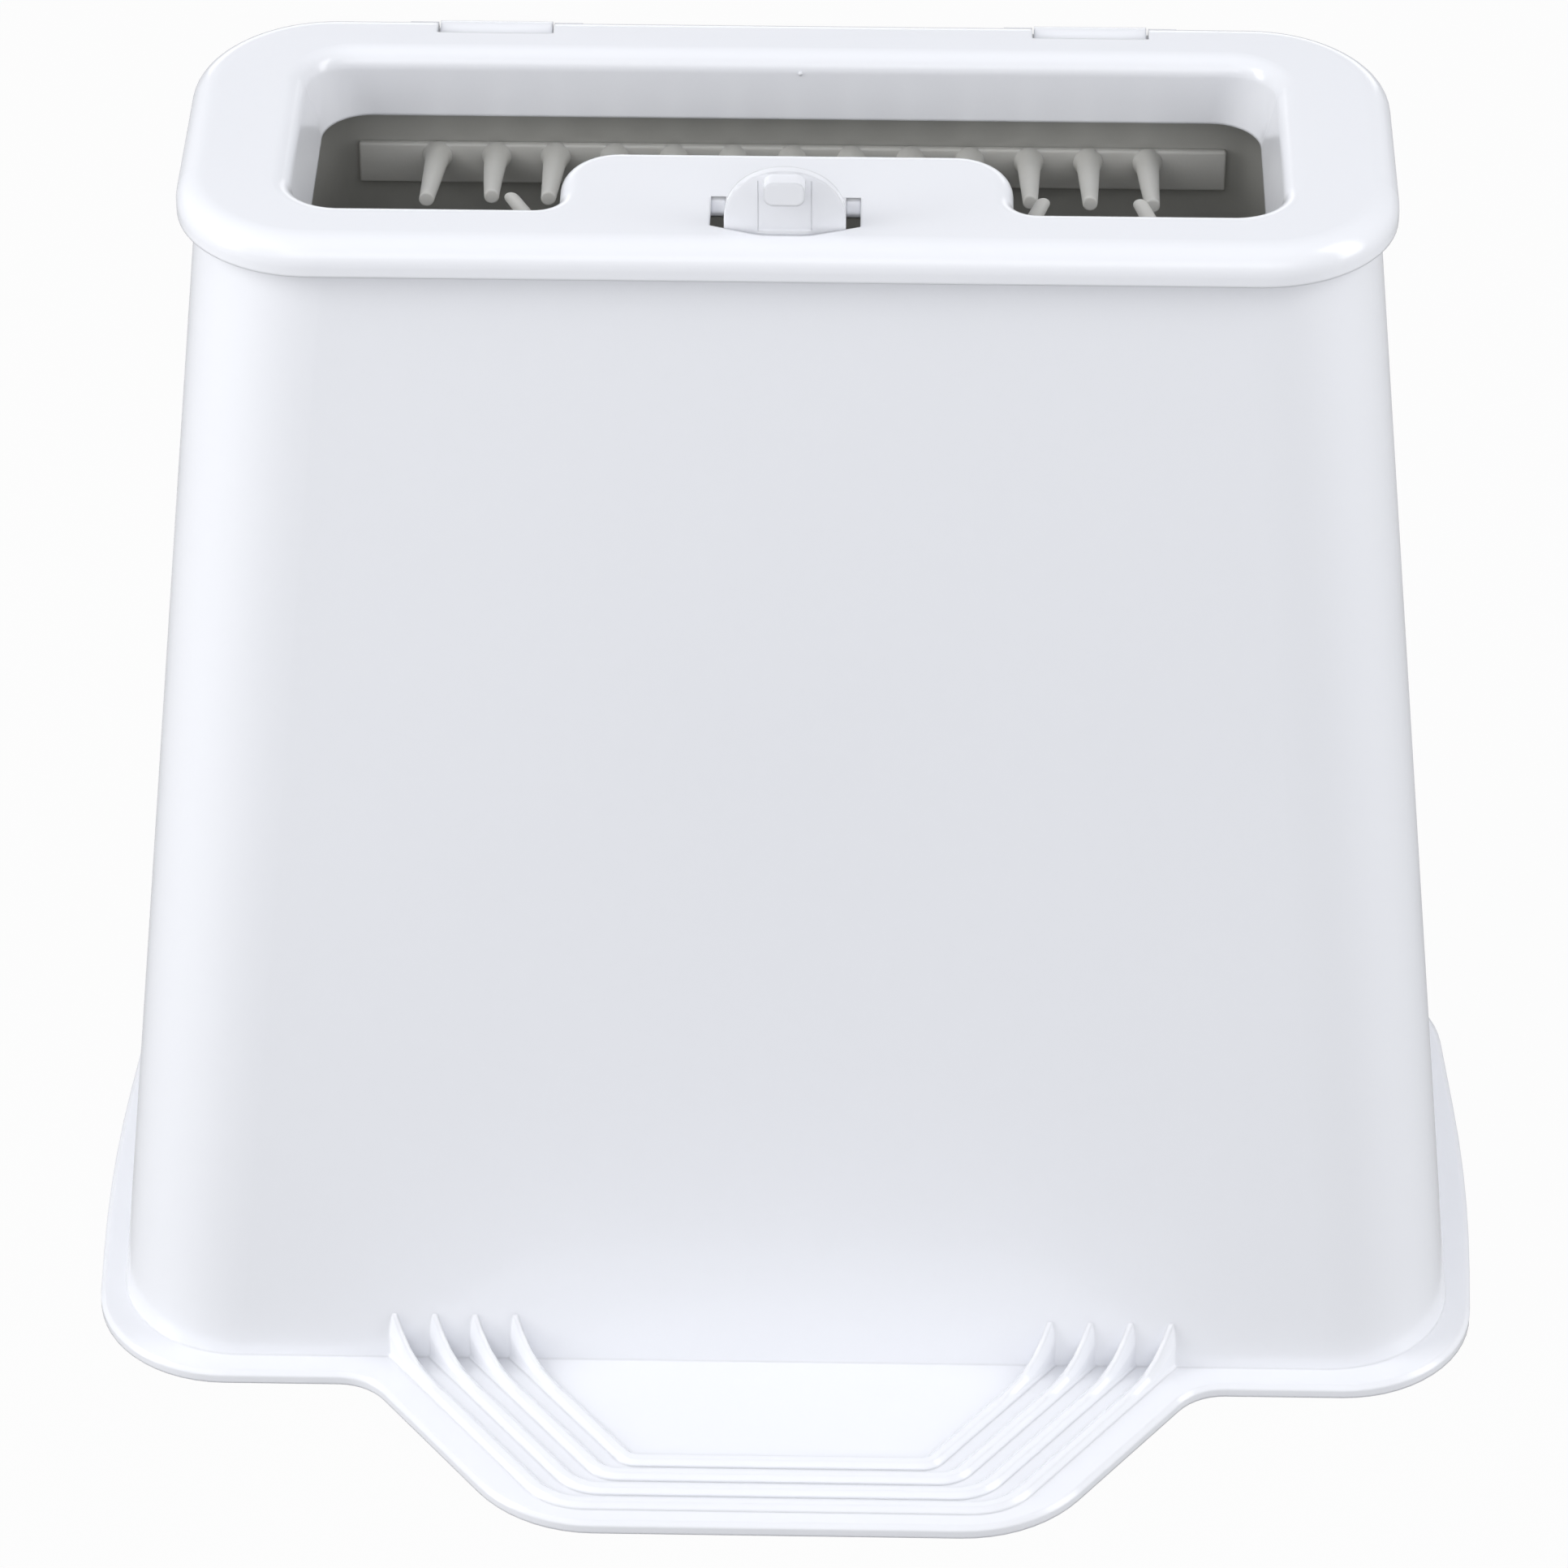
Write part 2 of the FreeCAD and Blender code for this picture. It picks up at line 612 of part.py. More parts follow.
# -------------------------------------------------------------- brush strips
def finger_section(body, name, x, along, radius):
    """Eight-sided section across a finger, at a distance along its tilted axis."""
    turns = [math.radians(22.5 + 45 * step) for step in range(8)]
    corners = [(f"{radius} * {math.cos(turn):.5f}", f"{radius} * {math.sin(turn):.5f}", None)
               for turn in turns]
    section = new_sketch(body, name, "XZ_Plane", "0")
    draw_outline(section, corners)
    tilt = FreeCAD.Rotation(FreeCAD.Vector(1, 0, 0), -number("sizes.finger_tilt"))
    section.AttachmentOffset = FreeCAD.Placement(FreeCAD.Vector(0, 0, 0), tilt)
    section.setExpression("AttachmentOffset.Base.x", x)
    section.setExpression("AttachmentOffset.Base.y", f"sizes.finger_rise + {along} * sin(sizes.finger_tilt)")
    section.setExpression("AttachmentOffset.Base.z", f"sizes.finger_sunk + {along} * cos(sizes.finger_tilt)")
    doc.recompute()
    return section


def build_brush_strip(name, row, front):
    """Bar with its back on the tub wall at y = 0 and fingers towards -Y. As
    many fingers as the bar has room for stand on the front strip, and one
    fewer on the rear strip, so that they face the gaps."""
    body = new_body(name)
    bar = outline_sketch(body, name + "_bar", "XZ_Plane", "0", rectangle(
        f"{TUB_X} - sizes.bar_end_gap", "sizes.bar_height / 2", "sizes.bar_round"))
    pad(body, bar, "sizes.bar_depth")
    room = f"2 * ({TUB_X} - sizes.bar_end_gap - sizes.finger_end_margin)"
    gaps = f"floor(({room}) / sizes.finger_pitch)"
    count = f"({gaps} + 1)" if front else gaps
    span = f"(sizes.finger_pitch * ({count} - 1))"
    first_x = f"-{span} / 2"
    finger = body.newObject("PartDesign::AdditiveLoft", name + "_finger")
    finger.Profile = finger_section(body, name + "_root", first_x, "0", "sizes.finger_root_radius")
    finger.Sections = [finger_section(body, name + "_tip", first_x, "sizes.finger_length",
                                      "sizes.finger_tip_radius")]
    finger.Ruled = True
    doc.recompute()
    fingers = body.newObject("PartDesign::LinearPattern", name + "_fingers")
    fingers.Originals = [finger]
    fingers.Direction = (bar, ["H_Axis"])
    fingers.setExpression("Length", span)
    fingers.Occurrences = int(number(count))
    body.Tip = fingers
    drop = f"(sizes.brush_drop + {row} * sizes.brush_row_pitch)"
    wall_y = f"({TUB_Y} - {drop} * tan(sizes.tub_draft))"
    lean = FreeCAD.Rotation(FreeCAD.Vector(1, 0, 0), -number("sizes.tub_draft"))
    facing = FreeCAD.Rotation(FreeCAD.Vector(0, 0, 1), 180 if front else 0)
    body.Placement = FreeCAD.Placement(FreeCAD.Vector(0, 0, 0), facing * lean)
    body.setExpression("Placement.Base.y", f"{CENTRE_SHIFT} {'-' if front else '+'} {wall_y}")
    body.setExpression("Placement.Base.z", f"{TUB_TOP} - {drop}")
    doc.recompute()
    return body


# ----------------------------------------------------------------------- lid
def tongue_outline(margin):
    half_x = f"(sizes.tongue_half_x - {margin})"
    front = f"-({MOUTH_Y} + sizes.skirt_wall)"
    rear = f"-({TONGUE_REAR} + {margin})"
    corner = f"sizes.tongue_corner - {margin}"
    return [
        ("-" + half_x, front, None),
        (half_x, front, None),
        (half_x, rear, corner),
        ("-" + half_x, rear, corner),
    ]


def flap_outline(half_x, root, gap):
    """Latch flap: straight sides and a bowed front edge."""
    apex = f"-({CRESCENT_APEX} - {gap})"
    end = f"-({CRESCENT_APEX} - sizes.crescent_bow - {gap})"
    return [
        ("-" + half_x, root, None),
        ("-" + half_x, end, None),
        ("-sizes.crescent_flat", apex, "sizes.crescent_round"),
        ("sizes.crescent_flat", apex, "sizes.crescent_round"),
        (half_x, end, None),
        (half_x, root, None),
    ]


def build_skirt():
    """Block that stands for the outside of the skirt round the mouth."""
    body = doc.addObject("PartDesign::Body", "skirt")
    plan = outline_sketch(body, "skirt_plan", "XY_Plane", SKIRT_BOTTOM, rectangle(
        f"{MOUTH_X} + sizes.skirt_wall", f"{MOUTH_Y} + sizes.skirt_wall", None))
    pad(body, plan, "sizes.skirt_depth - sizes.lid_plate / 2")
    lean_faces(body, "skirt_ends", "sizes.mouth_end_draft", True, is_end)
    round_edges(body, "skirt_corners", "sizes.mouth_corner + sizes.skirt_wall", is_corner)
    return body


def build_mouth():
    """Core that opens the mouth through the lid and its skirt."""
    body = doc.addObject("PartDesign::Body", "mouth")
    plan = outline_sketch(body, "mouth_plan", "XY_Plane", SKIRT_BOTTOM, rectangle(MOUTH_X, MOUTH_Y, None))
    pad(body, plan, "sizes.skirt_depth")
    lean_faces(body, "mouth_ends", "sizes.mouth_end_draft", True, is_end)
    round_edges(body, "mouth_corners", "sizes.mouth_corner", is_corner)
    return body


def is_end(face):
    return abs(face.normalAt(0, 0).x) > 0.9


def build_lid_cap():
    """Flat cap of the lid, hollow underneath."""
    body = doc.addObject("PartDesign::Body", "lid_cap")
    plan = outline_sketch(body, "cap_plan", "XY_Plane", LID_BOTTOM, rectangle(LID_X, LID_Y, "sizes.lid_corner"))
    pad(body, plan, "sizes.lid_height")
    lid_top = number(LID_TOP)
    round_edges(body, "lid_shoulder", "sizes.lid_edge_round", lambda edge: lies_at_height(edge, lid_top))
    hollow = outline_sketch(body, "cap_hollow", "XY_Plane", LID_BOTTOM, rectangle(
        f"{LID_X} - sizes.lid_rim", f"{LID_Y} - sizes.lid_rim", "sizes.lid_corner - sizes.lid_rim"))
    pocket(body, hollow, "sizes.lid_height - sizes.lid_plate", backwards=True)
    return body


def build_lid():
    """Cap and skirt, opened by the mouth, then finished in one body."""
    closed = doc.addObject("Part::Fuse", "lid_closed")
    closed.Base = build_lid_cap()
    closed.Tool = build_skirt()
    opened = doc.addObject("Part::Cut", "lid_opened")
    opened.Base = closed
    opened.Tool = build_mouth()
    doc.recompute()
    body = new_body("lid")
    body.BaseFeature = opened
    doc.recompute()
    tongue = outline_sketch(body, "tongue", "XY_Plane", SKIRT_BOTTOM, tongue_outline("0"))
    pad(body, tongue, "sizes.skirt_depth")
    under = outline_sketch(body, "tongue_hollow", "XY_Plane", SKIRT_BOTTOM, tongue_outline("sizes.skirt_wall"))
    pocket(body, under, "sizes.skirt_depth - sizes.lid_plate", backwards=True)
    round_edges(body, "tongue_roots", "sizes.tongue_root_round", is_tongue_root)
    round_edges(body, "mouth_edge", "sizes.mouth_edge_round", is_mouth_edge)
    flap_hole = outline_sketch(body, "flap_hole", "XY_Plane", LID_TOP, flap_outline(
        "(sizes.flap_half_x + sizes.slot_width)", f"-({FLAP_ROOT} - sizes.flap_root_gap)", "0"))
    pocket(body, flap_hole, "sizes.lid_plate * 2")
    boss = outline_sketch(body, "hinge_boss", "XY_Plane", LID_BOTTOM, box_corners(
        f"{NOTCH_INNER} - sizes.boss_width", f"{NOTCH_OUTER} + sizes.boss_width",
        f"{LID_Y} - sizes.notch_depth", f"{LID_Y} - sizes.lid_rim / 2"))
    boss_pad = pad(body, boss, "sizes.lid_height - sizes.lid_plate / 2")
    notch = outline_sketch(body, "hinge_notch", "XY_Plane", LID_TOP, box_corners(
        NOTCH_INNER, NOTCH_OUTER, f"{LID_Y} - sizes.notch_depth", f"{LID_Y} + sizes.notch_gap"))
    notch_cut = pocket(body, notch, "sizes.lid_height")
    bore = pin_bore(body, "lid_bore", f"{NOTCH_INNER} - sizes.pin_grip - sizes.pin_clearance",
                    "sizes.notch_width + 2 * (sizes.pin_grip + sizes.pin_clearance)")
    mirror(body, "lid_hinges", [boss_pad, notch_cut, bore])
    body.setExpression("Placement.Base.y", CENTRE_SHIFT)
    doc.recompute()
    return body


def is_tongue_root(edge):
    """Upright inner corners where the tongue leaves the front of the mouth."""
    box = edge.BoundBox
    upright = box.ZLength > 10 and box.XLength < 1e-3 and box.YLength < 1e-3
    beside = abs(abs(box.Center.x) - number("sizes.tongue_half_x")) < 1e-2
    return upright and beside and abs(box.Center.y + number(MOUTH_Y)) < 1e-2


def is_mouth_edge(edge):
    box = edge.BoundBox
    inside = max(abs(box.XMin), abs(box.XMax)) < number(f"{MOUTH_X} + 1") and max(
        abs(box.YMin), abs(box.YMax)) < number(f"{MOUTH_Y} + 1")
    return lies_at_height(edge, number(LID_TOP)) and inside


# --------------------------------------------------------------------- latch
def build_latch():
    body = new_body("latch")
    flap = outline_sketch(body, "flap", "XY_Plane", LID_TOP, flap_outline(
        "sizes.flap_half_x", f"-{FLAP_ROOT}", "sizes.crescent_width"))
    pad(body, flap, "sizes.lid_plate", backwards=True)
    plate = outline_sketch(body, "thumb_plate", "XY_Plane", f"{LID_TOP} - sizes.lid_plate / 2", plate_outline())
    pad(body, plate, "sizes.plate_height + sizes.lid_plate / 2")
    trim = outline_sketch(body, "plate_trim", "XZ_Plane", "0", *plate_trim_outlines())
    pocket(body, trim, LID_Y, backwards=True)
    knob = outline_sketch(body, "knob", "XZ_Plane", f"{PLATE_FRONT} - sizes.plate_thickness / 2", box_corners(
        "-sizes.knob_half_x", "sizes.knob_half_x", f"{KNOB_TOP} - sizes.knob_height", KNOB_TOP,
        "sizes.knob_round"))
    pad(body, knob, "sizes.knob_reach + sizes.plate_thickness / 2")
    hook = outline_sketch(body, "hook", "YZ_Plane", "-sizes.hook_half_x", hook_outline())
    pad(body, hook, "2 * sizes.hook_half_x")
    body.setExpression("Placement.Base.y", CENTRE_SHIFT)
    doc.recompute()
    return body


def plate_outline():
    """Thumb plate from above: gently bowed, its hollow side to the rear."""
    rear = f"({PLATE_FRONT} - sizes.plate_thickness)"
    half = "sizes.plate_half_x"
    third = "(sizes.plate_half_x / 2.5)"
    bow = "sizes.plate_bow_radius"
    return [
        ("-" + half, f"-({PLATE_FRONT} - sizes.plate_sag)", None),
        ("-" + third, f"-{PLATE_FRONT}", bow),
        (third, f"-{PLATE_FRONT}", bow),
        (half, f"-({PLATE_FRONT} - sizes.plate_sag)", None),
        (half, f"-({rear} - sizes.plate_sag)", None),
        (third, f"-{rear}", bow),
        ("-" + third, f"-{rear}", bow),
        ("-" + half, f"-({rear} - sizes.plate_sag)", None),
    ]


def plate_trim_outlines():
    """Two outlines that trim the plate's upper corners to a half round."""
    half = "sizes.plate_half_x"
    low = f"({PLATE_TOP} - sizes.plate_half_x)"
    trims = []
    for sign in ("", "-"):
        trims.append([
            (sign + half, low, None),
            (sign + half, PLATE_TOP, "sizes.plate_half_x * 0.98"),
            (sign + "0.1", PLATE_TOP, None),
            (sign + "0.1", f"{PLATE_TOP} + 1", None),
            (f"{sign}({half} + 1)", f"{PLATE_TOP} + 1", None),
            (f"{sign}({half} + 1)", low, None),
        ])
    return trims


def hook_outline():
    """Hook in section: a leg below the flap with a tooth towards the shell."""
    rear = f"-({HOOK_FRONT} - sizes.hook_thickness)"
    root = f"{LID_TOP} - sizes.lid_plate / 2"
    tooth_top = f"{HOOK_BOTTOM} + sizes.tooth_height"
    return [
        (rear, root, None),
        (f"-{HOOK_FRONT}", root, None),
        (f"-{HOOK_FRONT}", tooth_top, None),
        (f"-({HOOK_FRONT} + sizes.tooth_reach)", tooth_top, None),
        (f"-{HOOK_FRONT}", HOOK_BOTTOM, None),
        (rear, HOOK_BOTTOM, None),
    ]


# ---------------------------------------------------------------- hinge pins
def build_hinge_pin(name, side):
    pin = doc.addObject("Part::Cylinder", name)
    pin.Label = name
    pin.setExpression("Radius", "sizes.pin_radius")
    pin.setExpression("Height", "sizes.notch_width + 2 * sizes.pin_grip")
    pin.Placement = FreeCAD.Placement(FreeCAD.Vector(0, 0, 0), FreeCAD.Rotation(FreeCAD.Vector(0, 1, 0), 90))
    near_x = f"{NOTCH_INNER} - sizes.pin_grip"
    far_x = f"-({NOTCH_OUTER} + sizes.pin_grip)"
    pin.setExpression("Placement.Base.x", near_x if side > 0 else far_x)
    pin.setExpression("Placement.Base.y", f"{HINGE_Y} + {CENTRE_SHIFT}")
    pin.setExpression("Placement.Base.z", HINGE_Z)
    doc.recompute()
    return pin


# ------------------------------------------------------------ build and save
subparts = [
    build_outer_shell(),
    build_inner_tub(),
    build_lid(),
    build_latch(),
    build_hinge_pin("hinge_pin_left", -1),
    build_hinge_pin("hinge_pin_right", 1),
]
for row, word in enumerate(("upper", "middle", "lower")):
    subparts.append(build_brush_strip("rear_brush_" + word, row, False))
    subparts.append(build_brush_strip("front_brush_" + word, row, True))
doc.recompute()

for item in doc.Objects:
    if "Invalid" in item.State or "Error" in item.State:
        raise RuntimeError("%s did not build: %s" % (item.Name, item.State))
for subpart in subparts:
    shape = subpart.Shape
    if shape.isNull() or not shape.isValid():
        raise RuntimeError(subpart.Label + " has no valid shape")
    print("%-20s %2d solid  %9.1f mm3" % (subpart.Label, len(shape.Solids), shape.Volume))

os.makedirs("parts", exist_ok=True)
for subpart in subparts:
    subpart.Shape.exportStep("parts/%s.step" % subpart.Label)
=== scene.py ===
# %% [markdown]
# A pet paw washer, dressed in Blender
# The washer is a tall white box with a grey tub inside and a hinged white lid. Its hard
# parts come ready modelled from CAD, so this lesson loads them as a frame, finishes every
# surface and models the soft finger strips that CAD keeps plain. Every length is in
# metres, so a size in millimetres is written as a number times MM.

# %% Load the frame
import math

import bmesh
import bpy
from mathutils import Matrix, Vector


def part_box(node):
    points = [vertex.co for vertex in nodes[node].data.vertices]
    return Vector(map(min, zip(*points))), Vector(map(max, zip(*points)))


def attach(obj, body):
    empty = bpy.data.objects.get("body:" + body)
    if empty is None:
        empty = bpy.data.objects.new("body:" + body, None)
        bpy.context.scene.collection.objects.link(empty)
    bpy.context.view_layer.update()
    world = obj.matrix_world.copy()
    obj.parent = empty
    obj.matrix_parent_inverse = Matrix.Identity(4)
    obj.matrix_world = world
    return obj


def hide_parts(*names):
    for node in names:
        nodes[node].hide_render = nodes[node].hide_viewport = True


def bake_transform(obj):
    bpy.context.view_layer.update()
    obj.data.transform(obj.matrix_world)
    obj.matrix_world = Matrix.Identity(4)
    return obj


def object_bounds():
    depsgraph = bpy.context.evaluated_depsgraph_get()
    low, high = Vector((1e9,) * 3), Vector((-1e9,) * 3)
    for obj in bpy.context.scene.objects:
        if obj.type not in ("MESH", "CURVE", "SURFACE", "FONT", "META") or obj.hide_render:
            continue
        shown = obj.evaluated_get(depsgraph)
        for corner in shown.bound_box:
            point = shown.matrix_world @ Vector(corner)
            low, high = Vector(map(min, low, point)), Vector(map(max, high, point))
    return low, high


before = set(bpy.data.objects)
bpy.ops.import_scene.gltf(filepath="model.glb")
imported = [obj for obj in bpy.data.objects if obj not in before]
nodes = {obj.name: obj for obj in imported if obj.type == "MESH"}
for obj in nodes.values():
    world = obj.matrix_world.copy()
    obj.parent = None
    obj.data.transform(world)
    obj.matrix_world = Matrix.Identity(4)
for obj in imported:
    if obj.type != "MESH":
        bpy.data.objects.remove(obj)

MM = 0.001
cad_low, cad_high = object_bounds()
scene = bpy.context.scene
print("nodes:", ", ".join(sorted(nodes)))

# %% [markdown]
# The camera
# The washer is seen from above its foot tab, as by a person who is about to step on the
# tab. A short lens close by would splay the tall sides, so a long lens further away keeps
# them nearly parallel. The camera is placed by an angle and a distance from a target
# inside the shell, so that both can be read and changed here.

# %% Camera
SENSOR_MM = 36.0
LENS_MM = 156.2
SHIFT_X = -0.0031
CAMERA_ELEVATION = math.radians(36.0)
CAMERA_YAW = math.radians(1.2)
CAMERA_DISTANCE = 1.5
TARGET_HEIGHT = 110 * MM

tub_low, tub_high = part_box("inner_tub")
target = Vector((0, (tub_low[1] + tub_high[1]) / 2, TARGET_HEIGHT))
towards_target = Vector((
    -math.sin(CAMERA_YAW) * math.cos(CAMERA_ELEVATION),
    math.cos(CAMERA_YAW) * math.cos(CAMERA_ELEVATION),
    -math.sin(CAMERA_ELEVATION),
))
camera_data = bpy.data.cameras.new("camera")
camera_data.sensor_width = SENSOR_MM
camera_data.lens = LENS_MM
camera_data.shift_x = SHIFT_X
camera = bpy.data.objects.new("camera", camera_data)
scene.collection.objects.link(camera)
camera.location = target - towards_target * CAMERA_DISTANCE
camera.rotation_euler = towards_target.to_track_quat("-Z", "Y").to_euler()
bpy.context.scene.camera = camera
print("camera at", [round(value, 3) for value in camera.location])

# %% [markdown]
# The lamps
# Glossy white plastic shows its shape only through what it mirrors and how softly it is
# lit. One strong lamp would burn out the rounded shoulder of the lid, so six large weak
# ones stand around the washer. The left one is the stronger of the two at the sides,
# which keeps the left flank lighter than the right. The one behind lights the washer's back.
# The one behind is for the other views.

# %% Lamps
# name: (width and height in m, watts, place, point it faces)
LAMPS = {
    "overhead": ((1.6, 1.2), 0.5, (0.0, -0.3, 1.9), (0, 0.02, 0.1)),
    "left_side": ((0.5, 1.6), 13.5, (-1.35, -0.4, 0.8), (0, 0.02, 0.12)),
    "right_side": ((0.5, 1.6), 9.5, (1.35, -0.3, 0.8), (0, 0.02, 0.12)),
    "key": ((1.4, 1.0), 3.0, (-1.1, -1.2, 1.9), (0, 0.0, 0.15)),
    "front_fill": ((2.0, 0.8), 6.5, (0.0, -1.9, 1.15), (0, 0.0, 0.2)),
    "rear_fill": ((2.2, 0.7), 6.0, (0.0, 2.2, 0.5), (0, 0.05, 0.12)),
}


def area_lamp(name, size, power, place, aim):
    """Soft oblong lamp at a place, turned towards a point."""
    data = bpy.data.lights.new(name, "AREA")
    data.shape = "RECTANGLE"
    data.size, data.size_y = size
    data.energy = power
    lamp = bpy.data.objects.new(name, data)
    scene.collection.objects.link(lamp)
    lamp.location = place
    lamp.rotation_euler = (Vector(aim) - Vector(place)).to_track_quat("-Z", "Y").to_euler()


for lamp_name, settings in LAMPS.items():
    area_lamp(lamp_name, *settings)
scene.view_settings.view_transform = "Standard"
print("lamps:", ", ".join(LAMPS))

# %% [markdown]
# The room
# A pale, slightly cool room fills the shadows and is what the gloss mirrors. Seen straight
# on, the room should be plain white, so the world asks by which ray it is seen: the camera
# gets white and everything else gets the dimmer room. That keeps the background white
# without throwing more light on the washer.

# %% Room
ROOM_COLOUR = (0.95, 0.965, 1.0, 1)
WHITE = (1, 1, 1, 1)
ROOM_STRENGTH = 0.62


def white_world():
    """Room light for the object and plain white behind it."""
    world = bpy.data.worlds.new("room")
    scene.world = world
    world.use_nodes = True
    tree = world.node_tree
    background = tree.nodes["Background"]
    path = tree.nodes.new("ShaderNodeLightPath")
    strength = tree.nodes.new("ShaderNodeMix")
    strength.inputs["A"].default_value = ROOM_STRENGTH
    strength.inputs["B"].default_value = 1.0
    tree.links.new(path.outputs["Is Camera Ray"], strength.inputs["Factor"])
    tree.links.new(strength.outputs["Result"], background.inputs["Strength"])
    colour = tree.nodes.new("ShaderNodeMix")
    colour.data_type = "RGBA"
    colour.inputs["A"].default_value = ROOM_COLOUR
    colour.inputs["B"].default_value = WHITE
    tree.links.new(path.outputs["Is Camera Ray"], colour.inputs["Factor"])
    tree.links.new(colour.outputs["Result"], background.inputs["Color"])


white_world()
print("room strength:", ROOM_STRENGTH)

# %% [markdown]
# The floor
# The washer stands on a pale floor that runs out of sight. A floor of white paint would
# throw too much light up under the flange, so it is painted mid-grey, and the camera alone
# sees most of it glow white. The small share of paint that is left keeps the shadow.

# %% Floor
FLOOR_HALF_SIZE = 4.0
FLOOR_PAINT = (0.42, 0.42, 0.42, 1)
GLOW_SHARE = 0.96


def floor_material():
    """Pale floor that the camera sees nearly white, with a soft shadow left in it."""
    material = bpy.data.materials.new("studio_floor")
    material.use_nodes = True
    tree = material.node_tree
    tree.nodes.clear()
    output = tree.nodes.new("ShaderNodeOutputMaterial")
    paint = tree.nodes.new("ShaderNodeBsdfDiffuse")
    paint.inputs["Color"].default_value = FLOOR_PAINT
    glow = tree.nodes.new("ShaderNodeEmission")
    glow.inputs["Strength"].default_value = 1.0
    path = tree.nodes.new("ShaderNodeLightPath")
    share = tree.nodes.new("ShaderNodeMath")
    share.operation = "MULTIPLY"
    share.inputs[1].default_value = GLOW_SHARE
    mix = tree.nodes.new("ShaderNodeMixShader")
    tree.links.new(path.outputs["Is Camera Ray"], share.inputs[0])
    tree.links.new(share.outputs[0], mix.inputs[0])
    tree.links.new(paint.outputs[0], mix.inputs[1])
    tree.links.new(glow.outputs[0], mix.inputs[2])
    tree.links.new(mix.outputs[0], output.inputs["Surface"])
    return material


floor_bm = bmesh.new()
bmesh.ops.create_grid(floor_bm, x_segments=1, y_segments=1, size=FLOOR_HALF_SIZE)
floor_mesh = bpy.data.meshes.new("floor")
floor_bm.to_mesh(floor_mesh)
floor_bm.free()
floor_mesh.materials.append(floor_material())
floor = bpy.data.objects.new("floor", floor_mesh)
scene.collection.objects.link(floor)
print("floor:", 2 * FLOOR_HALF_SIZE, "m square")

# %% [markdown]
# Two helpers for uneven surfaces
# No real surface is one flat value all over. A noise texture that reads Object coordinates
# stays put on the piece when it moves, and it needs no unwrapping. The second helper
# squeezes the noise into the narrow range in which the eye takes it for material and not
# for pattern.

# %% Noise helpers
NOISE_MIDDLE = (0.3, 0.7)


def noise(tree, coordinates, scale, detail=2.0):
    """Noise of a scale, as a socket."""
    texture = tree.nodes.new("ShaderNodeTexNoise")
    texture.inputs["Scale"].default_value = scale
    texture.inputs["Detail"].default_value = detail
    tree.links.new(coordinates, texture.inputs["Vector"])
    return texture.outputs["Fac"]


def spread(tree, source, low, high):
    """Maps the middle of a noise onto a narrow range of values."""
    node = tree.nodes.new("ShaderNodeMapRange")
    node.inputs["From Min"].default_value, node.inputs["From Max"].default_value = NOISE_MIDDLE
    node.inputs["To Min"].default_value = low
    node.inputs["To Max"].default_value = high
    tree.links.new(source, node.inputs["Value"])
    return node.outputs["Result"]


def two_tones(tree, colour, other_colour, share):
    """Mixes two near colours by a share and sends them to the shader's base colour."""
    tint = tree.nodes.new("ShaderNodeMix")
    tint.data_type = "RGBA"
    tint.inputs["A"].default_value = (*colour, 1)
    tint.inputs["B"].default_value = (*other_colour, 1)
    tree.links.new(share, tint.inputs["Factor"])
    tree.links.new(tint.outputs["Result"], tree.nodes["Principled BSDF"].inputs["Base Color"])


print("noise is squeezed from", NOISE_MIDDLE)

# %% [markdown]
# Moulded plastic and silicone
# Everything but the pins came out of a mould: a glossy white plastic with a cool cast, a
# satin grey one for the tub, and matte silicone for the fingers. All three share one
# recipe. Even good moulding is never a perfect mirror, so a very fine noise bends the
# surface a little and a coarser one shifts its gloss. A Bevel node rounds the shading of
# sharp edges, which costs no faces. The silicone also lets a trace of light in, and the
# white plastic has a thin clear coat for its crisp reflections.

# %% Moulded finishes
TONE_SCALE = 9.0
GLOSS_SCALE, GLOSS_DETAIL, GLOSS_SWING = 40.0, 4.0, 0.15
PEEL_DEPTH, PEEL_DETAIL = 0.05 * MM, 3.0
EDGE_SAMPLES = 6
PLASTIC_IOR = 1.5
GLOW_RADIUS, GLOW_DEPTH = (1.0, 0.9, 0.8), 1.5 * MM
COAT_ROUGHNESS = 0.08


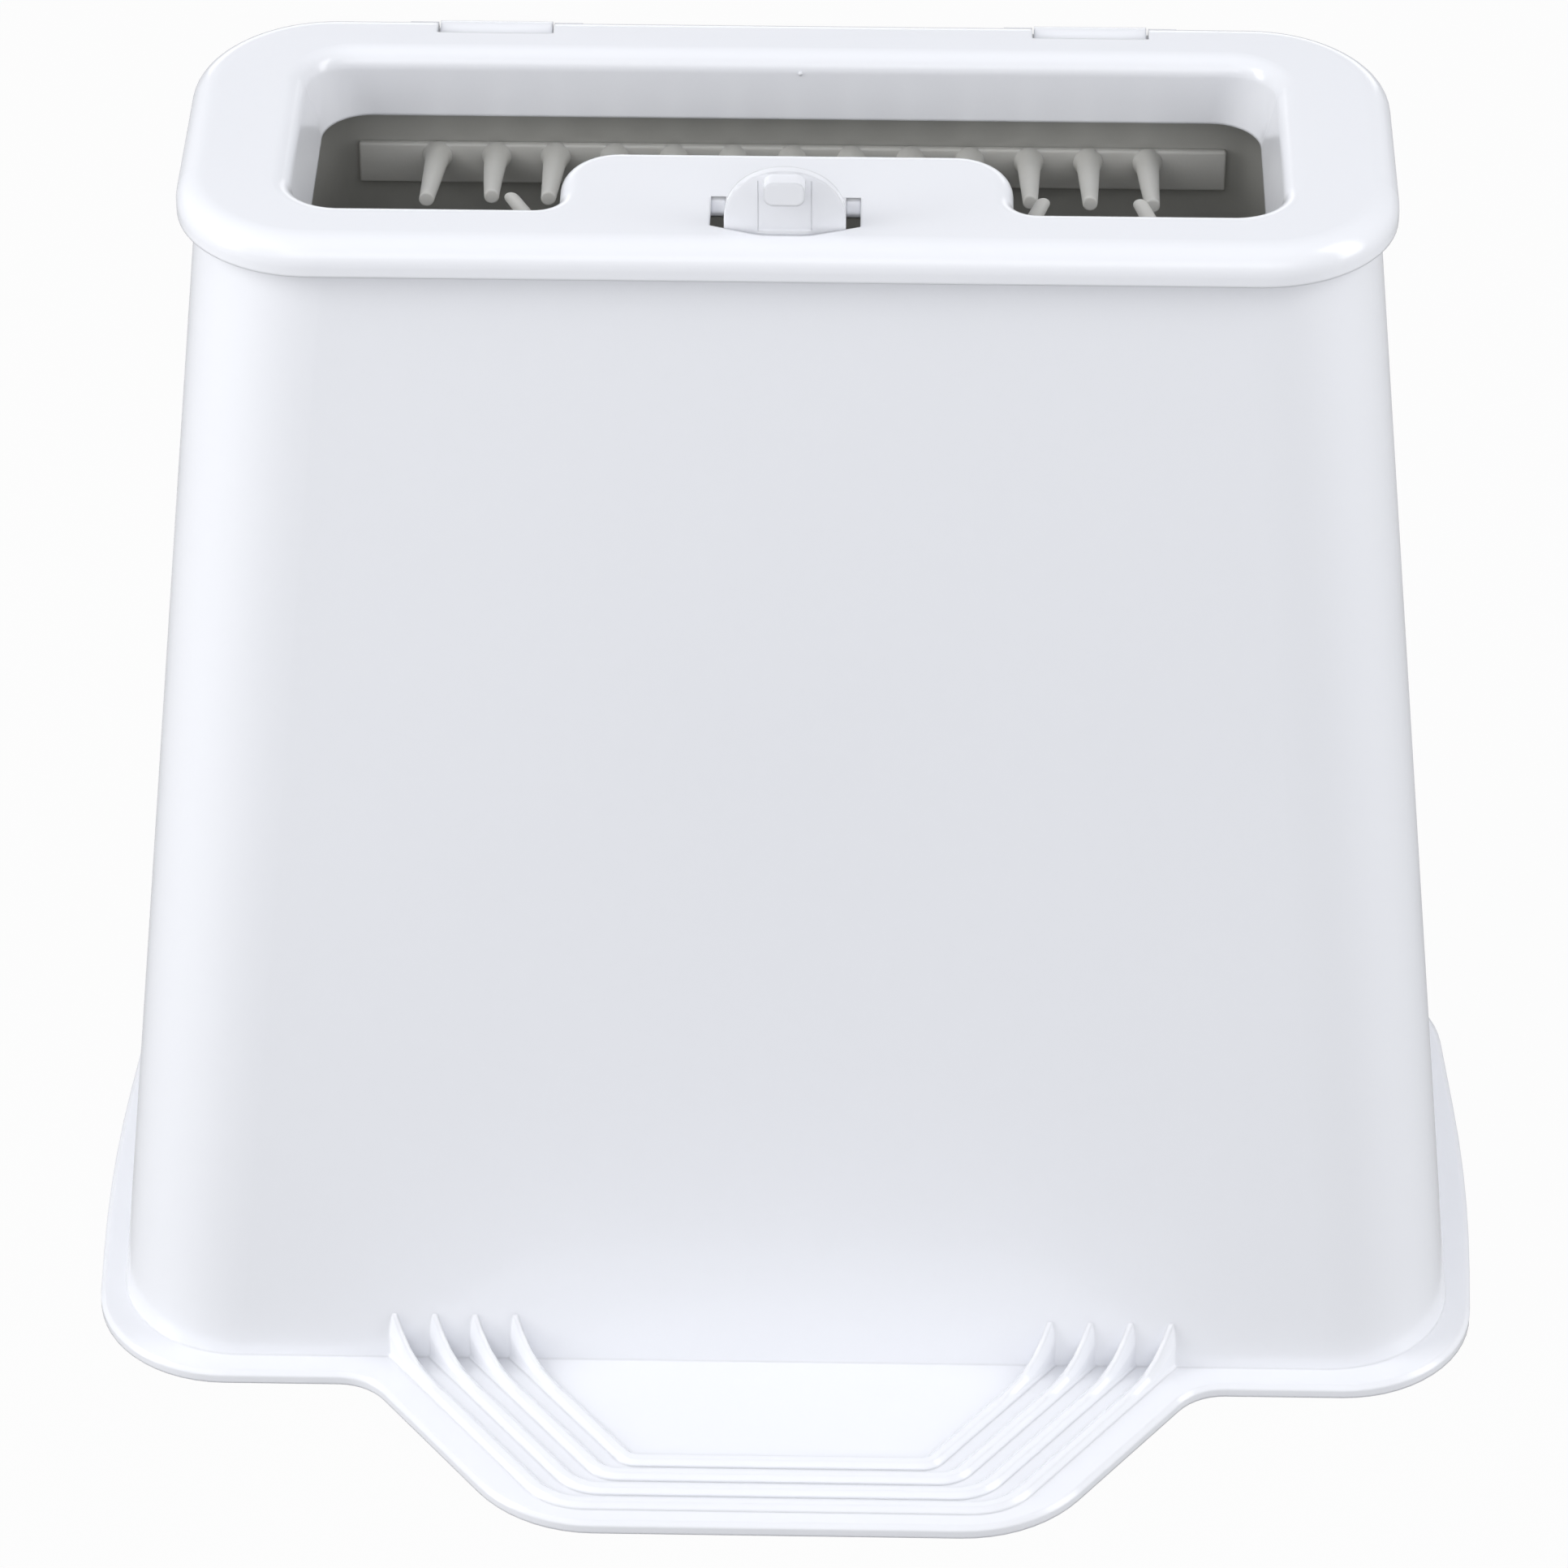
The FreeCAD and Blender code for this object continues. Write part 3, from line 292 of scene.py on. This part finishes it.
def moulded(name, colour, other_colour, roughness, peel_scale, peel, soft_edge,
            subsurface=0.0, coat=0.0):
    """Procedural moulded finish: two near colours, uneven gloss and a fine orange peel
    over edges that a mould never leaves quite sharp."""
    material = bpy.data.materials.new(name)
    material.use_nodes = True
    tree = material.node_tree
    shader = tree.nodes["Principled BSDF"]
    coordinates = tree.nodes.new("ShaderNodeTexCoord").outputs["Object"]
    tone = spread(tree, noise(tree, coordinates, TONE_SCALE), 0.0, 1.0)
    two_tones(tree, colour, other_colour, tone)
    gloss = spread(tree, noise(tree, coordinates, GLOSS_SCALE, GLOSS_DETAIL),
                   roughness * (1 - GLOSS_SWING), roughness * (1 + GLOSS_SWING))
    tree.links.new(gloss, shader.inputs["Roughness"])
    bump = tree.nodes.new("ShaderNodeBump")
    bump.inputs["Distance"].default_value = PEEL_DEPTH
    bump.inputs["Strength"].default_value = peel
    tree.links.new(noise(tree, coordinates, peel_scale, PEEL_DETAIL), bump.inputs["Height"])
    rounding = tree.nodes.new("ShaderNodeBevel")
    rounding.samples = EDGE_SAMPLES
    rounding.inputs["Radius"].default_value = soft_edge
    tree.links.new(rounding.outputs["Normal"], bump.inputs["Normal"])
    tree.links.new(bump.outputs["Normal"], shader.inputs["Normal"])
    shader.inputs["IOR"].default_value = PLASTIC_IOR
    if subsurface:
        shader.inputs["Subsurface Weight"].default_value = subsurface
        shader.inputs["Subsurface Radius"].default_value = GLOW_RADIUS
        shader.inputs["Subsurface Scale"].default_value = GLOW_DEPTH
    if coat:
        shader.inputs["Coat Weight"].default_value = coat
        shader.inputs["Coat Roughness"].default_value = COAT_ROUGHNESS
    return material


white_plastic = moulded(
    "white_plastic", (0.84, 0.85, 0.885), (0.85, 0.86, 0.895),
    roughness=0.22, peel_scale=700, peel=0.25, soft_edge=0.9 * MM, coat=0.25)
grey_plastic = moulded(
    "grey_plastic", (0.375, 0.372, 0.35), (0.4, 0.397, 0.372),
    roughness=0.32, peel_scale=900, peel=0.4, soft_edge=0.5 * MM)
grey_silicone = moulded(
    "grey_silicone", (0.533, 0.529, 0.502), (0.560, 0.555, 0.529),
    roughness=0.5, peel_scale=1100, peel=0.5, soft_edge=0.3 * MM, subsurface=0.2)
print("moulded:", white_plastic.name, grey_plastic.name, grey_silicone.name)

# %% [markdown]
# The steel of the hinge pins
# The lid turns on two short pins of drawn wire. Drawing leaves fine rings round the wire,
# so the same noise is squeezed very tightly along the pin's own axis until its spots
# become rings, and the rings set both the gloss and the tone.

# %% Pin steel
RING_SCALE = (4000, 60, 60)
RING_ROUGHNESS = (0.2, 0.34)


def steel_material():
    """Drawn pin wire: a bright metal with fine rings along its length."""
    material = bpy.data.materials.new("pin_steel")
    material.use_nodes = True
    tree = material.node_tree
    shader = tree.nodes["Principled BSDF"]
    shader.inputs["Metallic"].default_value = 1.0
    coordinates = tree.nodes.new("ShaderNodeTexCoord").outputs["Object"]
    stretch = tree.nodes.new("ShaderNodeMapping")
    stretch.inputs["Scale"].default_value = RING_SCALE
    tree.links.new(coordinates, stretch.inputs["Vector"])
    rings = noise(tree, stretch.outputs["Vector"], 1.0)
    tree.links.new(spread(tree, rings, *RING_ROUGHNESS), shader.inputs["Roughness"])
    two_tones(tree, (0.52, 0.53, 0.54), (0.66, 0.66, 0.67), rings)
    return material


pin_steel = steel_material()
print("metal:", pin_steel.name)

# %% [markdown]
# Dressing the CAD nodes
# The hard parts keep the very meshes that CAD gave them, so each one only trades its plain
# material for a finish. A table from part to finish says it all in one place.

# %% Dress the nodes
FINISH_OF = {
    "outer_shell": white_plastic,
    "lid": white_plastic,
    "latch": white_plastic,
    "inner_tub": grey_plastic,
    "hinge_pin_left": pin_steel,
    "hinge_pin_right": pin_steel,
}
for node_name, finish in FINISH_OF.items():
    node_materials = nodes[node_name].data.materials
    node_materials.clear()
    node_materials.append(finish)
print("dressed:", ", ".join(FINISH_OF))

# %% [markdown]
# One silicone finger
# The fingers brush mud out of the paw. Each is a tapered rod with a soft flare where it
# leaves its bar and a rounded tip. A cone gives the taper, and rings cut along it let the
# finger bend. Moving every ring by the square of how far along it lies bends the finger
# like a soft rod that is fixed at one end, which a straight tilt would not. The flare is a
# swelling that fades out within a few millimetres of the bar.

# %% Add one finger
FINGER_SIDES = 24
FINGER_RINGS = 9
ROOT_RADIUS = 2.6 * MM
TIP_RADIUS = 1.55 * MM
TIP_ROUNDING = 0.35 * MM
FLARE_RADIUS = 3.2 * MM
FLARE_FADE = 1.1 * MM
FINGER_TILT = math.radians(12.5)


def add_finger(bm, length, side_lean, lift, place):
    """Adds a finger along -Y from a place. side_lean and lift are how far its tip strays."""
    finger = bmesh.new()
    bmesh.ops.create_cone(
        finger, cap_ends=True, cap_tris=False, segments=FINGER_SIDES,
        radius1=ROOT_RADIUS, radius2=TIP_RADIUS, depth=length)
    bmesh.ops.translate(finger, verts=finger.verts, vec=(0, 0, length / 2))
    sides = [edge for edge in finger.edges
             if abs(edge.verts[0].co.z - edge.verts[1].co.z) > length / 2]
    bmesh.ops.subdivide_edges(finger, edges=sides, cuts=FINGER_RINGS, use_grid_fill=False)
    tip_rim = [edge for edge in finger.edges
               if all(vert.co.z > length - 1e-6 for vert in edge.verts)]
    bmesh.ops.bevel(finger, geom=tip_rim, offset=TIP_ROUNDING, segments=3, profile=0.5,
                    affect="EDGES", material=-1)
    for vert in finger.verts:
        along = vert.co.z / length
        flare = 1 + (FLARE_RADIUS / ROOT_RADIUS - 1) * math.exp(-vert.co.z / FLARE_FADE)
        vert.co.x = vert.co.x * flare + side_lean * along ** 2
        vert.co.y = vert.co.y * flare + lift * along ** 2
    upright_to_level = Matrix.Rotation(math.radians(90) - FINGER_TILT, 4, "X")
    bmesh.ops.transform(
        finger, matrix=Matrix.Translation(place) @ upright_to_level, verts=finger.verts)
    scratch = bpy.data.meshes.new("scratch")
    finger.to_mesh(scratch)
    finger.free()
    bm.from_mesh(scratch)
    bpy.data.meshes.remove(scratch)


print("a finger tapers from", ROOT_RADIUS / MM, "to", TIP_RADIUS / MM, "mm")

# %% [markdown]
# From bmesh to piece
# Every new piece ends the same way: its faces are turned outwards, it gets its finish, and
# it is shaded smooth with only the true corners left sharp. It then rides on the body that
# carries it. A piece that stands for a plain CAD node replaces it.

# %% Finish a piece
SHARP_ANGLE = math.radians(40)


def finish_piece(name, bm, material, body, replaced):
    """Turns a bmesh into a piece of the washer that rides on a body."""
    bmesh.ops.recalc_face_normals(bm, faces=bm.faces)
    mesh = bpy.data.meshes.new(name)
    bm.to_mesh(mesh)
    bm.free()
    mesh.materials.append(material)
    mesh.shade_smooth()
    mesh.set_sharp_from_angle(angle=SHARP_ANGLE)
    piece = bpy.data.objects.new(name, mesh)
    scene.collection.objects.link(piece)
    if replaced:
        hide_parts(*replaced)
    if body:
        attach(piece, body)
    return piece


print("edges over", round(math.degrees(SHARP_ANGLE)), "degrees stay sharp")

# %% [markdown]
# The six finger strips
# Each strip is one silicone moulding: a flat bar against the tub wall and a row of
# fingers. The bar is a cube scaled to the strip's box with its edges bevelled, and the
# fingers stand on it at an even pitch. The strip is built facing the front, turned about
# for the front wall, and leaned to lie on the tub's sloping wall. Every finger leans a
# little its own way, because silicone never stands to attention, and three fingers of the
# upper front strip have been pushed aside.

# %% Build the six strips
WALLS = ("rear", "front")
ROWS = ("upper", "middle", "lower")
FINGERS_ON = {"rear": 13, "front": 14}
FINGER_PITCH = 12.55 * MM
FINGER_RISE = 2.0 * MM
BAR_DEPTH = 1.8 * MM
BAR_HEIGHT = 9.4 * MM
BAR_ROUNDING = 0.5 * MM
WALL_LEAN = math.radians(1.0)
SIDE_STRAY, LIFT_STRAY, DROOP = 0.7, 0.5, 0.3
# (wall, row): {finger: how far its tip is pushed aside and lifted, in mm}
PUSHED = {("front", "upper"): {0: (9.0, 6.5), 3: (-8.7, 6.5), 10: (13.4, 6.5)}}


def uneven(strip_index, finger_index, salt):
    """Repeatable value from -1 to 1, a different one for each finger. The odd factors
    have no meaning of their own: they only scatter the values."""
    wave = math.sin(strip_index * 12.9898 + finger_index * 78.233 + salt * 37.719) * 43758.5453
    return 2 * (wave - math.floor(wave)) - 1


def build_strip(strip_index, wall, row):
    """Soft finger strip in the place of its plain CAD node."""
    node_name = "%s_brush_%s" % (wall, row)
    low, high = (Vector(corner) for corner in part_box(node_name))
    count = FINGERS_ON[wall]
    bm = bmesh.new()
    bar = bmesh.ops.create_cube(bm, size=1.0)["verts"]
    bmesh.ops.scale(bm, verts=bar, vec=(high.x - low.x, BAR_DEPTH, BAR_HEIGHT))
    bmesh.ops.translate(bm, verts=bar, vec=(0, -BAR_DEPTH / 2, 0))
    bmesh.ops.bevel(bm, geom=list(bm.edges), offset=BAR_ROUNDING, segments=3, profile=0.5,
                    affect="EDGES", material=-1)
    bare_length = (high.y - low.y - BAR_DEPTH) / math.cos(FINGER_TILT)
    pushed_here = PUSHED.get((wall, row), {})
    for index in range(count):
        side, lift = pushed_here.get(index, (
            SIDE_STRAY * uneven(strip_index, index, 1),
            LIFT_STRAY * uneven(strip_index, index, 2) - DROOP))
        place = Vector(((index - (count - 1) / 2) * FINGER_PITCH, -BAR_DEPTH, FINGER_RISE))
        add_finger(bm, bare_length, side * MM, lift * MM, place)
    turn = Matrix.Rotation(math.radians(180 if wall == "front" else 0), 4, "Z")
    lean = Matrix.Rotation(-WALL_LEAN, 4, "X")
    bar_back = low.y if wall == "front" else high.y
    middle = Vector(((low.x + high.x) / 2, bar_back, low.z + BAR_HEIGHT / 2))
    bmesh.ops.transform(bm, matrix=Matrix.Translation(middle) @ turn @ lean, verts=bm.verts)
    return finish_piece(
        node_name + "_soft", bm, grey_silicone, "shell", [node_name])


strips = [build_strip(index, wall, row) for index, (wall, row) in enumerate(
    (wall, row) for wall in WALLS for row in ROWS)]
print("finger strips:", len(strips), "with", FINGERS_ON["rear"], "and", FINGERS_ON["front"],
      "fingers")

# %% [markdown]
# The living hinge of the latch
# The thumb latch is a flap cut free of the lid on three sides, and its fourth side is a
# thin web of the same plastic that bends. The frame keeps lid and flap as two bodies with
# a narrow gap, so a small block is laid across the gap. It is cut into short lengths.

# %% Latch web
lid_low, _ = (Vector(corner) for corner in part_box("lid"))
_, latch_high = (Vector(corner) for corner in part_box("latch"))
SKIRT_DEPTH = 15.1 * MM
LID_PLATE = 2.5 * MM
ROOT_GAP = 0.3 * MM
FLAP_HALF_X = 12.2 * MM
WEB_CUTS = 3
lid_top = lid_low.z + SKIRT_DEPTH
flap_root_y = latch_high.y


def box_piece(name, low, high, cuts, material, body):
    """Block between two corners, cut across where it has to bend."""
    bm = bmesh.new()
    verts = bmesh.ops.create_cube(bm, size=1.0)["verts"]
    bmesh.ops.scale(bm, verts=verts, vec=high - low)
    bmesh.ops.translate(bm, verts=verts, vec=(low + high) / 2)
    if cuts:
        bmesh.ops.subdivide_edges(bm, edges=list(bm.edges), cuts=cuts, use_grid_fill=True)
    return finish_piece(name, bm, material, body, None)


web_front = Vector((0, flap_root_y, lid_top))
web_rear = Vector((0, flap_root_y + ROOT_GAP, lid_top))
latch_web = box_piece(
    "latch_web", Vector((-FLAP_HALF_X, web_front.y, lid_top - LID_PLATE)),
    Vector((FLAP_HALF_X, web_rear.y, lid_top)), WEB_CUTS, white_plastic, None)
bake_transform(latch_web)
print("latch web bridges", round(ROOT_GAP / MM, 2), "mm at y", round(flap_root_y, 5))

# %% [markdown]
# The ramps in the slots
# The slot on each side of the flap ends in a rounded ramp, which keeps the corner from
# cracking. A wedge with a hollow face is a short outline and a sweep: a quarter circle of
# points is closed into a face at the slot's end, and the face is extruded across the slot.

# %% Slot ramps
SLOT_WIDTH = 3.0 * MM
RAMP_LENGTH = 3.4 * MM
RAMP_STEPS = 6


def slot_ramp(name, side):
    """Hollow-faced wedge that fills the rear end of a slot, from the lid's top down."""
    slot_rear = flap_root_y + ROOT_GAP
    bm = bmesh.new()
    profile = [bm.verts.new((0, slot_rear, lid_top - LID_PLATE))]
    for step in range(RAMP_STEPS + 1):
        turn = math.radians(90) * step / RAMP_STEPS
        profile.append(bm.verts.new((
            0,
            slot_rear - RAMP_LENGTH * (1 - math.cos(turn)),
            lid_top - LID_PLATE * math.sin(turn))))
    face = bm.faces.new(profile)
    bmesh.ops.translate(bm, verts=bm.verts, vec=(side * FLAP_HALF_X, 0, 0))
    swept = bmesh.ops.extrude_face_region(bm, geom=[face])["geom"]
    moved = [item for item in swept if isinstance(item, bmesh.types.BMVert)]
    bmesh.ops.translate(bm, verts=moved, vec=(side * SLOT_WIDTH, 0, 0))
    return finish_piece(name, bm, white_plastic, "lid", None)


slot_ramp("slot_ramp_left", -1)
slot_ramp("slot_ramp_right", 1)
print("slot ramps:", RAMP_LENGTH / MM, "mm long")

# %% [markdown]
# The seams of the thumb plate
# The plate that the thumb pushes shows two faint upright seams, where an insert met the
# mould. They are far too fine for CAD, and a painted line would not catch the light, so
# each is a ridge as thin as a hair. A ray sent in from the front finds the plate's face,
# and the ridge is sunk into it with only its edge standing proud.

# %% Plate seams
SEAM_X = 5.4 * MM
SEAM_WIDTH = 0.18 * MM
SEAM_PROUD = 0.06 * MM
SEAM_SUNK = 0.4 * MM
SEAM_TOP_DROP = 2.4 * MM
AIM_OVER_LID = 4 * MM
TO_THE_REAR = Vector((0, 1, 0))


def plate_seam(name, x):
    """Hair-thin ridge up the front of the thumb plate, found by a ray from the front."""
    start = Vector((x, cad_low[1], lid_top + AIM_OVER_LID))
    found, place, _, _ = nodes["latch"].ray_cast(start, TO_THE_REAR)
    print(name, "meets the plate:", found, [round(value, 5) for value in place])
    return box_piece(
        name, Vector((x - SEAM_WIDTH / 2, place.y - SEAM_PROUD, lid_top - SEAM_SUNK)),
        Vector((x + SEAM_WIDTH / 2, place.y + SEAM_SUNK, latch_high.z - SEAM_TOP_DROP)),
        0, white_plastic, "latch")


plate_seam("plate_seam_left", -SEAM_X)
plate_seam("plate_seam_right", SEAM_X)

# %% [markdown]
# The gate nub
# Molten plastic enters a mould through a gate, and the lid keeps a small nub from it on
# the rear wall of its mouth. A low sphere half sunk in the wall is enough. A smooth white
# part looks drawn and not moulded without such marks. A ray finds the wall here too.

# %% Gate nub
NUB_RADIUS = 0.55 * MM
NUB_FLATNESS = 0.6
NUB_X = 1.8 * MM
NUB_BELOW_TOP = 4.0 * MM
INSIDE_MOUTH_Y = 45 * MM

found, nub_place, _, _ = nodes["lid"].ray_cast(
    Vector((NUB_X, INSIDE_MOUTH_Y, lid_top - NUB_BELOW_TOP)), TO_THE_REAR)
bm = bmesh.new()
bmesh.ops.create_icosphere(bm, subdivisions=2, radius=NUB_RADIUS)
bmesh.ops.scale(bm, verts=bm.verts, vec=(1, NUB_FLATNESS, 1))
bmesh.ops.translate(bm, verts=bm.verts, vec=nub_place)
finish_piece("gate_nub", bm, white_plastic, "lid", None)
print("gate nub at", [round(value, 5) for value in nub_place], "found:", found)
